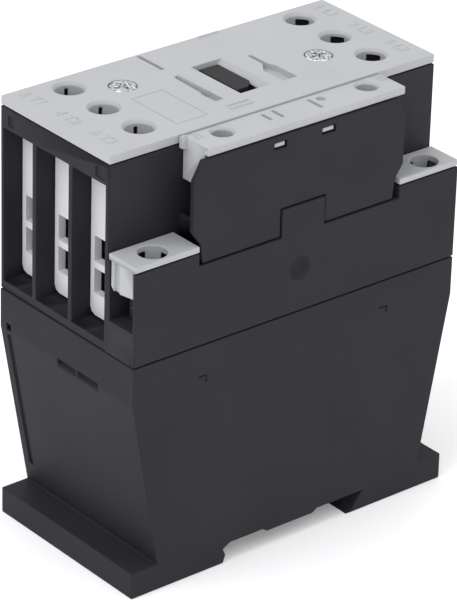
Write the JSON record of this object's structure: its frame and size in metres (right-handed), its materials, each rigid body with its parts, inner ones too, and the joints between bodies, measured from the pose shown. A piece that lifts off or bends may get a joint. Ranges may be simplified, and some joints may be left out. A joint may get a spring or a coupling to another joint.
{
  "type": "din rail contactor",
  "caption": "Three-pole power contactor with a slotted rail foot, recessed screw terminals at both ends, coil terminals and a clipped-on auxiliary contact block along one side.",
  "frame": {"origin": "centre of the mounting face, on the foot plate's underside, between the foot's ends and its long sides", "axes": "+Z out of the panel towards the front cover, X along the length between the two rows of main terminals with the load terminals at -X, -Y towards the coil and auxiliary contact side"},
  "size_m": [0.0858, 0.045, 0.0978],
  "materials": {
    "black_housing": "moulded glass-filled black plastic, fine spark-eroded grain",
    "grey_cover": "moulded light grey plastic, fine matt grain",
    "shroud_grey": "moulded light grey plastic, smooth",
    "inner_black": "moulded black plastic, satin",
    "zinc_steel": "bright zinc plated steel",
    "spring_steel": "drawn spring wire",
    "contact_copper": "bare copper strip with silver pads",
    "core_iron": "stacked and riveted iron laminations",
    "winding": "enamelled copper wire under clear tape",
    "rubber_pad": "black rubber"
  },
  "bodies": {
    "housing": {"lower_housing": "black_housing", "upper_housing": "black_housing", "aux_cover": "black_housing", "front_cover": "grey_cover", "aux_cap": "grey_cover", "coil_terminal_block_1": "grey_cover", "coil_terminal_block_2": "grey_cover", "terminal_shroud_t": "shroud_grey", "terminal_shroud_l": "shroud_grey", "coil_bobbin": "inner_black", "terminal_clamp_t1": "zinc_steel", "terminal_clamp_t2": "zinc_steel", "terminal_clamp_t3": "zinc_steel", "terminal_clamp_l1": "zinc_steel", "terminal_clamp_l2": "zinc_steel", "terminal_clamp_l3": "zinc_steel", "terminal_screw_t1": "zinc_steel", "terminal_screw_t2": "zinc_steel", "terminal_screw_t3": "zinc_steel", "terminal_screw_l1": "zinc_steel", "terminal_screw_l2": "zinc_steel", "terminal_screw_l3": "zinc_steel", "case_screw_1": "zinc_steel", "case_screw_2": "zinc_steel", "coil_clamp_1": "zinc_steel", "coil_clamp_2": "zinc_steel", "coil_screw_1": "zinc_steel", "coil_screw_2": "zinc_steel", "aux_clamp_1": "zinc_steel", "aux_clamp_2": "zinc_steel", "aux_screw_1": "zinc_steel", "aux_screw_2": "zinc_steel", "rail_clip_spring": "spring_steel", "return_spring_1": "spring_steel", "return_spring_2": "spring_steel", "fixed_contact_t1": "contact_copper", "fixed_contact_t2": "contact_copper", "fixed_contact_t3": "contact_copper", "fixed_contact_l1": "contact_copper", "fixed_contact_l2": "contact_copper", "fixed_contact_l3": "contact_copper", "coil_contact_1": "contact_copper", "coil_contact_2": "contact_copper", "aux_contact_1": "contact_copper", "aux_contact_2": "contact_copper", "fixed_core": "core_iron", "coil_winding": "winding", "damping_pad": "rubber_pad"},
    "carrier": {"contact_carrier": "inner_black", "armature": "core_iron", "contact_spring_1": "spring_steel", "contact_spring_2": "spring_steel", "contact_spring_3": "spring_steel", "aux_spring": "spring_steel"},
    "rail_clip": {"rail_clip": "zinc_steel"},
    "contact_bridge_1": {"contact_bridge_1": "contact_copper"},
    "contact_bridge_2": {"contact_bridge_2": "contact_copper"},
    "contact_bridge_3": {"contact_bridge_3": "contact_copper"},
    "aux_bridge": {"aux_bridge": "contact_copper"}
  },
  "joints": [
    {"name": "carrier_stroke", "type": "slide", "parent": "housing", "child": "carrier", "axis": [0, 0, -1], "range_m": [0, 0.005], "stiffness_N_per_m": 400, "springref_m": -0.006, "deforming": ["return_spring_1", "return_spring_2"]},
    {"name": "bridge_1_lift", "type": "slide", "parent": "carrier", "child": "contact_bridge_1", "axis": [0, 0, 1], "range_m": [0, 0.0015], "stiffness_N_per_m": 300, "springref_m": -0.003, "deforming": ["contact_spring_1"]},
    {"name": "bridge_2_lift", "type": "slide", "parent": "carrier", "child": "contact_bridge_2", "axis": [0, 0, 1], "range_m": [0, 0.0015], "stiffness_N_per_m": 300, "springref_m": -0.003, "deforming": ["contact_spring_2"]},
    {"name": "bridge_3_lift", "type": "slide", "parent": "carrier", "child": "contact_bridge_3", "axis": [0, 0, 1], "range_m": [0, 0.0015], "stiffness_N_per_m": 300, "springref_m": -0.003, "deforming": ["contact_spring_3"]},
    {"name": "aux_bridge_lift", "type": "slide", "parent": "carrier", "child": "aux_bridge", "axis": [0, 0, 1], "range_m": [0, 0.0015], "stiffness_N_per_m": 150, "springref_m": -0.003, "deforming": ["aux_spring"]},
    {"name": "rail_clip_slide", "type": "slide", "parent": "housing", "child": "rail_clip", "axis": [-1, 0, 0], "range_m": [0, 0.0025], "stiffness_N_per_m": 1500, "springref_m": -0.002, "deforming": ["rail_clip_spring"]}
  ],
  "couplings": [
    {"joint": "bridge_1_lift", "follows": "carrier_stroke", "ratio": 0.3},
    {"joint": "bridge_2_lift", "follows": "carrier_stroke", "ratio": 0.3},
    {"joint": "bridge_3_lift", "follows": "carrier_stroke", "ratio": 0.3},
    {"joint": "aux_bridge_lift", "follows": "carrier_stroke", "ratio": 0.3}
  ]
}
